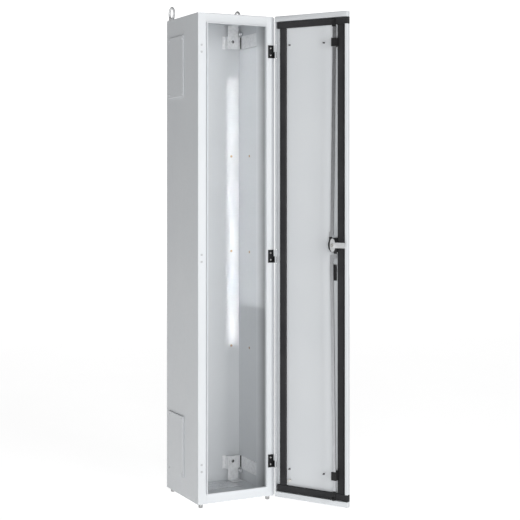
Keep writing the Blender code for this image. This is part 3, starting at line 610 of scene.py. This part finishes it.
def button_head(radius, height, socket, material, name):
    """A round screw head with a deep hexagon socket."""
    profile = [(0, 0), (radius * 0.97, 0), (radius, height * 0.15), (radius, height * 0.45)]
    for step in range(1, 6):
        angle = math.pi / 2 * step / 6
        reach, rise = 0.55 + 0.45 * math.cos(angle), 0.45 + 0.55 * math.sin(angle)
        profile.append((radius * reach, height * rise))
    profile += [(radius * 0.55, height), (0, height)]
    return socketed(finished(lathe(profile), name, material), socket, height, height * 0.70, material)


def cage_nut(material, name):
    """A square nut in its cage, with the thread open."""
    half, deep = 0.0068, 0.0048
    nut = rounded(finished(block((-half, -half, 0), (half, half, deep)), name, material), 0.0007, 2)
    bore = lathe([(0, -0.001), (0.0026, -0.001), (0.0026, deep + 0.001), (0, deep + 0.001)])
    nut = carve(nut, finished(bore, "bore", material))
    nut.data.set_sharp_from_angle(angle=SHARP)
    return mesh_of(nut)


def weld_stud(material, name, length):
    """A threaded stud with a weld collar."""
    profile = [(0, 0), (0.0034, 0), (0.0034, 0.0006), (0.0026, 0.0012)]
    pitch = 0.0008
    height = 0.0012
    while height < length - 0.001:
        profile += [(0.0025, height), (0.0021, height + pitch / 2)]
        height += pitch
    profile += [(0.0023, length - 0.0006), (0.0017, length), (0, length)]
    return mesh_of(finished(lathe(profile, 20), name, material))


def leaf_places():
    """The two screw heights at each hinge leaf, with a label and a sign."""
    for level in ("lower", "middle", "upper"):
        z = middle(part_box("hinge_leaf_" + level)).z
        for place, sign in (("low", -1), ("high", 1)):
            yield "{}_{}".format(level, place), sign, z + sign * HINGE_SCREW_STEP


def add_frame_plugs(mesh):
    """Plugged left-hand hinge holes in the left stile, level with the hinge screws."""
    for label, _, z in leaf_places():
        spot = Vector((HINGE_SCREW_IN - BODY_HIGH.x, FACE, z))
        put(mesh, "plug_" + label, facing(spot, -Y), "cabinet")


def add_hinge_screws(mesh):
    for label, sign, z in leaf_places():
        spot = Vector((BODY_HIGH.x - HINGE_SCREW_IN, FACE - LEAF_THICKNESS, z))
        put(mesh, "hinge_screw_" + label, facing(spot, -Y, 0.6 * sign), "cabinet")


def add_cover_screws(mesh):
    for side, out in (("left", -X), ("right", X)):
        for level in ("lower", "upper"):
            low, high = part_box("side_cover_{}_{}".format(side, level))
            face = low.x if side == "left" else high.x
            for y_name, y in (("front", low.y + COVER_SCREW_IN), ("rear", high.y - COVER_SCREW_IN)):
                for z_name, z in (("low", low.z + COVER_SCREW_IN), ("high", high.z - COVER_SCREW_IN)):
                    name = "cover_screw_{}_{}_{}_{}".format(side, level, y_name, z_name)
                    turn = 0.4 + 9 * z  # the recesses stand at various angles
                    put(mesh, name, facing((face, y, z), out, turn), "cabinet")


def add_rivet_nuts(mesh):
    """Threaded inserts in the back and side walls, at three heights."""
    for number, z in enumerate(INSERT_HEIGHTS):
        for side, sign in (("left", -1), ("right", 1)):
            spot = Vector((sign * (SIDE_WALL - BACK_INSERT_IN), BACK_WALL, z))
            put(mesh, "back_insert_{}_{}".format(side, number), facing(spot, -Y), "cabinet")
            spot = Vector((sign * SIDE_WALL, FACE + WALL_INSERT_BEHIND, z))
            put(mesh, "wall_insert_{}_{}".format(side, number), facing(spot, -sign * X), "cabinet")


def add_bracket_fittings(bolt, nut):
    """A bolt, a cage nut behind the square hole and a black strip by the wall at every corner bracket. The strip
    is painted shade: a dark sheet in the shadow gap beside the bracket. The nut's black finish is partly painted
    shade, darkening the hole.
    """
    for level in ("lower", "upper"):
        for side, sign in (("left", -1), ("right", 1)):
            low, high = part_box("corner_bracket_{}_{}".format(side, level))
            label = "{}_{}".format(side, level)
            top = high.z if level == "lower" else low.z + BRACKET_PLATE
            face = low.y + BRACKET_FOOT
            z = low.z + BRACKET_BOLT_END if level == "lower" else high.z - BRACKET_BOLT_END
            spot = Vector((sign * BRACKET_BOLT_X, high.y - BRACKET_BOLT_AHEAD, z))
            put(bolt, "bracket_bolt_" + label, facing(spot, -Y, 0.2), "cabinet")
            # a cage nut in black oxide, partly painted shade: it makes the square hole read dark
            spot = Vector((sign * BRACKET_HOLE_X, face + 0.0022, top - BRACKET_HOLE_DOWN))
            put(nut, "cage_nut_" + label, facing(spot, Y, math.pi / 4), "cabinet")
            # a black strip by the wall: painted shade in the gap beside the bracket
            outer = SIDE_WALL - 0.0004
            walls = sorted((sign * (outer - SHADE_STRIP_WIDTH), sign * outer))
            near = face + 0.0002
            low_corner = (walls[0], near, top - BRACKET_PLATE + SHADE_STRIP_SHORTER)
            high_corner = (walls[1], near + SHADE_STRIP_DEPTH, top - SHADE_STRIP_SHORTER)
            shape = block(low_corner, high_corner)
            shade_strip = rounded(finished(shape, "bracket_shade_strip_" + label, LOOKS["black_rubber"]), 0.0006, 2)
            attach(shade_strip, "cabinet")


def add_door_studs(mesh):
    """Weld studs inside the door for a document pocket and an earth strap."""
    seal, guide = closed_box("gasket_hinge_side")[0], closed_box("rod_guide_lower")[1]
    columns = (seal.x - STUD_BESIDE_SEAL, guide.x + STUD_BESIDE_GUIDE)
    for level, z in (("lower", STUD_UP), ("upper", BODY_HIGH.z - STUD_DOWN)):
        for number, x in enumerate(columns):
            spot = Vector((x, DOOR_SKIN, z))
            put(mesh, "door_stud_{}_{}".format(level, number), facing(spot, Y, 0.0, OPEN), "door")


# ---------------------------------------------------------------- larger pieces

SOFT_EDGES = {
    "rain_lip": 0.0009, "lock_base": 0.0012, "lock_cam": 0.0009, "cam_screw": 0.0004,
    "rod_guide_lower": 0.0012, "rod_guide_upper": 0.0012, "handle_clamp": 0.0012,
    "upper_rod": 0.0005, "lower_rod": 0.0005, "upper_rod_end": 0.0009, "lower_rod_end": 0.0009,
    "upper_roller": 0.0008, "lower_roller": 0.0008, "earth_stud": 0.0003,
    "hinge_leaf_lower": 0.0007, "hinge_leaf_middle": 0.0007, "hinge_leaf_upper": 0.0007,
    "hinge_knuckle_lower": 0.0005, "hinge_knuckle_middle": 0.0005, "hinge_knuckle_upper": 0.0005,
    "hinge_pin_lower": 0.0004, "hinge_pin_middle": 0.0004, "hinge_pin_upper": 0.0004,
    "handle_hub": 0.0010, "key_cylinder": 0.0004, "handle_dish": 0.0012, "handle_lever": 0.0022,
    "lever_pin": 0.0003, "door_panel": 0.0, "gland_plate_front": 0.0004, "gland_plate_rear": 0.0004,
}
for place in ("left_lower", "left_upper", "right_lower", "right_upper"):
    SOFT_EDGES["corner_bracket_" + place] = 0.0004
    SOFT_EDGES["side_rail_" + place] = 0.0004


def refine_nodes():
    for node, width in SOFT_EDGES.items():
        refined(node, width, 3 if width > 0.001 else 2)


def make_gaskets():
    """Foam strips with rounded shoulders."""
    for name in ("gasket_top", "gasket_bottom", "gasket_free_side", "gasket_hinge_side"):
        strip = finished(block(*closed_box(name)), "seal_" + name[7:], LOOKS["black_rubber"])
        rounded(strip, 0.0022, 3)
        strip.matrix_world = OPEN
        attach(strip, "door")
        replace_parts(strip, name)


def make_side_covers():
    """Cable-entry covers with a rounded fold all round."""
    for side in ("left", "right"):
        for level in ("lower", "upper"):
            node = "side_cover_{}_{}".format(side, level)
            shape = block(*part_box(node))
            cover = finished(shape, "cover_{}_{}".format(side, level), LOOKS["grey_paint"])
            rounded(cover, 0.0018, 3)
            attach(cover, "cabinet")
            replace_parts(cover, node)


def make_edge_strip():
    """A thin strip down the body's hinge-side corner that closes the slit beside the open door."""
    low = (BODY_HIGH.x - 0.0005, FACE + STRIP_BEHIND[0], BODY_LOW.z + STRIP_SHORTER)
    high = (BODY_HIGH.x + STRIP_OUT, FACE + STRIP_BEHIND[1], BODY_HIGH.z - STRIP_SHORTER)
    strip = rounded(finished(block(low, high), "edge_strip", LOOKS["grey_paint"]), 0.0010, 2)
    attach(strip, "cabinet")


def forged_ring(ring, wire):
    """A ring in the YZ plane, thicker at its root."""
    shape = bmesh.new()
    steps, around = 48, 16
    loops = []
    for step in range(steps):
        angle = 2 * math.pi * step / steps
        thick = wire * (1 + 0.25 * max(0.0, -math.sin(angle)) ** 3)
        loop = []
        for turn in range(around):
            phi = 2 * math.pi * turn / around
            reach = ring + thick * math.cos(phi) * 0.97
            point = (thick * math.sin(phi), reach * math.cos(angle), reach * math.sin(angle))
            loop.append(shape.verts.new(point))
        loops.append(loop)
    for loop, after in zip(loops, loops[1:] + loops[:1]):
        for turn in range(around):
            following = (turn + 1) % around
            shape.faces.new((loop[turn], loop[following], after[following], after[turn]))
    bmesh.ops.recalc_face_normals(shape, faces=shape.faces)
    return shape


def make_lifting_eyes():
    for side in ("left", "right"):
        node = "lifting_eye_" + side
        low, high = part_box(node)
        ring = (high.y - low.y) / 2 - EYE_WIRE
        centre = Vector(((low.x + high.x) / 2, (low.y + high.y) / 2, high.z - ring - EYE_WIRE))
        eye = finished(forged_ring(ring, EYE_WIRE), "eye_" + side, GALVANISED)
        eye.location = centre
        radius = (high.x - low.x) / 2
        base = low.z - centre.z
        profile = [
            (0, base), (radius * 0.96, base), (radius, base + 0.001), (radius, base + 0.0055),
            (radius * 0.90, base + 0.0070), (radius * 0.52, base + 0.0100), (0, base + 0.0110),
        ]
        collar = finished(lathe(profile, 40), "collar", GALVANISED)
        collar.location = centre
        join = eye.modifiers.new("collar", "BOOLEAN")
        join.operation = "UNION"
        join.object = collar
        settle(eye)
        bpy.data.objects.remove(collar)
        eye.data.shade_smooth()
        eye.data.set_sharp_from_angle(angle=math.radians(40))
        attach(eye, "cabinet")
        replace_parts(eye, node)


def foot_bolt(tall, material, name):
    """A levelling foot seen from its root: washer, neck, round head with a hexagon socket."""
    profile = [
        (0, 0), (0.0092, 0), (0.0095, 0.0003), (0.0095, 0.0012), (0.0092, 0.0015), (0.0078, 0.0015),
        (0.0078, 0.0024), (0.0083, 0.0028), (FOOT_RADIUS, 0.0034),
    ]
    for step in range(6):
        angle = math.pi / 2 * step / 5
        inward, upward = 1 - math.cos(angle), 1 - math.sin(angle)
        profile.append((FOOT_RADIUS - FOOT_ROUNDING * inward, tall - FOOT_ROUNDING * upward))
    profile.append((0, tall))
    return socketed(finished(lathe(profile), name, material), 0.0034, 0.008, tall, material)


def make_feet():
    low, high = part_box("foot_front_left")
    mesh = foot_bolt(high.z - low.z, WORN, "foot_bolt")
    for place in ("front_left", "front_right", "rear_left", "rear_right"):
        node = "foot_" + place
        low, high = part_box(node)
        root = (low + high) / 2
        root.z = high.z
        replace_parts(put(mesh, "bolt_" + node, facing(root, -Z), "cabinet"), node)


# ---------------------------------------------------------------- stage

def lit_surface(name, glow):
    """A pale surface with its own soft glow, for the floor and the backdrop."""
    finish = Finish(name)
    light, dark = (STAGE_TONE,) * 3, (0.96 * STAGE_TONE,) * 3
    finish.colour(finish.mix(finish.noise(0.8, 2.0), light, dark))
    finish.roughness(finish.ramp(finish.noise(2.0, 2.0), 0.85, 0.95))
    finish.constant(Specular_IOR_Level=0.1, Emission_Color=(1, 1, 1, 1), Emission_Strength=glow)
    return finish.material


def plane(name, size, glow):
    """A level square with its own glow; its half width is the size."""
    shape = bmesh.new()
    bmesh.ops.create_grid(shape, x_segments=1, y_segments=1, size=size)
    return finished(shape, name, lit_surface(name, glow), False)


def make_stage():
    floor = plane("studio_floor", FLOOR_SIZE, FLOOR_GLOW)
    floor.location = (0, 0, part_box("foot_front_left")[0].z)
    backdrop = plane("backdrop", BACKDROP_SIZE, BACKDROP_GLOW)
    backdrop.rotation_euler = (math.radians(90), 0, 0)
    backdrop.location = BACKDROP_PLACE


def area_light(name, place, aim, size, power, spread=180.0):
    data = bpy.data.lights.new(name, "AREA")
    data.shape = "RECTANGLE"
    data.size, data.size_y = size
    data.energy = power
    data.spread = math.radians(spread)
    light = bpy.data.objects.new(name, data)
    bpy.context.scene.collection.objects.link(light)
    light.location = place
    light.rotation_euler = (Vector(aim) - Vector(place)).to_track_quat("-Z", "Y").to_euler()
    return light


def slot_lamp(name, spot, size, power):
    """A narrow beam through the door opening from the front left, as a column of short lamps."""
    back = BEAM_REACH * Vector((math.sin(BEAM_SLANT), math.cos(BEAM_SLANT), 0))
    width, height = size[0], size[1] / BEAM_LAMPS
    for step in range(BEAM_LAMPS):
        aim = spot + Z * height * (step + 0.5 - BEAM_LAMPS / 2)
        lamp_name = "{}_{}".format(name, step)
        lamp = area_light(lamp_name, aim - back, aim, (width, height), power / BEAM_LAMPS, BEAM_SPREAD)
        lamp.visible_camera = False


def make_light():
    world = bpy.data.worlds.new("studio")
    bpy.context.scene.world = world
    world.use_nodes = True
    background = world.node_tree.nodes["Background"]
    background.inputs["Color"].default_value = (1, 1, 1, 1)
    background.inputs["Strength"].default_value = WORLD_GLOW
    area_light("left", (-2.6, -5.4, 1.6), (0.1, 0, 0.9), (2.0, 3.4), 144)
    area_light("right", (1.1, -5.9, 1.6), (0.1, 0, 0.9), (1.6, 3.0), 132)
    slot_lamp("back_wall", Vector((0.125, BACK_WALL, 1.06)), (0.03, 1.05), 0.110)
    slot_lamp("side_wall", Vector((SIDE_WALL, 0.02, 1.20)), (0.13, 1.00), 0.21)


def make_camera():
    data = bpy.data.cameras.new("camera")
    data.sensor_width = 36.0
    data.lens = CAMERA_LENS
    data.shift_y = CAMERA_SHIFT
    camera = bpy.data.objects.new("camera", data)
    bpy.context.scene.collection.objects.link(camera)
    camera.location = CAMERA_PLACE
    camera.rotation_euler = (math.radians(90), 0, CAMERA_TURN)
    bpy.context.scene.camera = camera


finish_nodes()
refine_nodes()
make_gaskets()
make_side_covers()
make_edge_strip()
make_lifting_eyes()
make_feet()
add_frame_plugs(plug_cap(0.0042, PLUG, "plug"))
add_hinge_screws(pan_head(0.0036, 0.0018, WORN, "hinge_screw"))
add_cover_screws(pan_head(0.0038, 0.0020, LOOKS["grey_paint"], "cover_screw"))
add_rivet_nuts(rivet_nut(INSERT, "insert"))
add_bracket_fittings(
    button_head(0.0088, 0.0056, 0.0042, LOOKS["zinc"], "bracket_bolt"), cage_nut(DARK, "cage_nut")
)
add_door_studs(weld_stud(DARK, "stud", 0.0085))
make_stage()
make_light()
make_camera()
bpy.context.scene.view_settings.view_transform = "Standard"
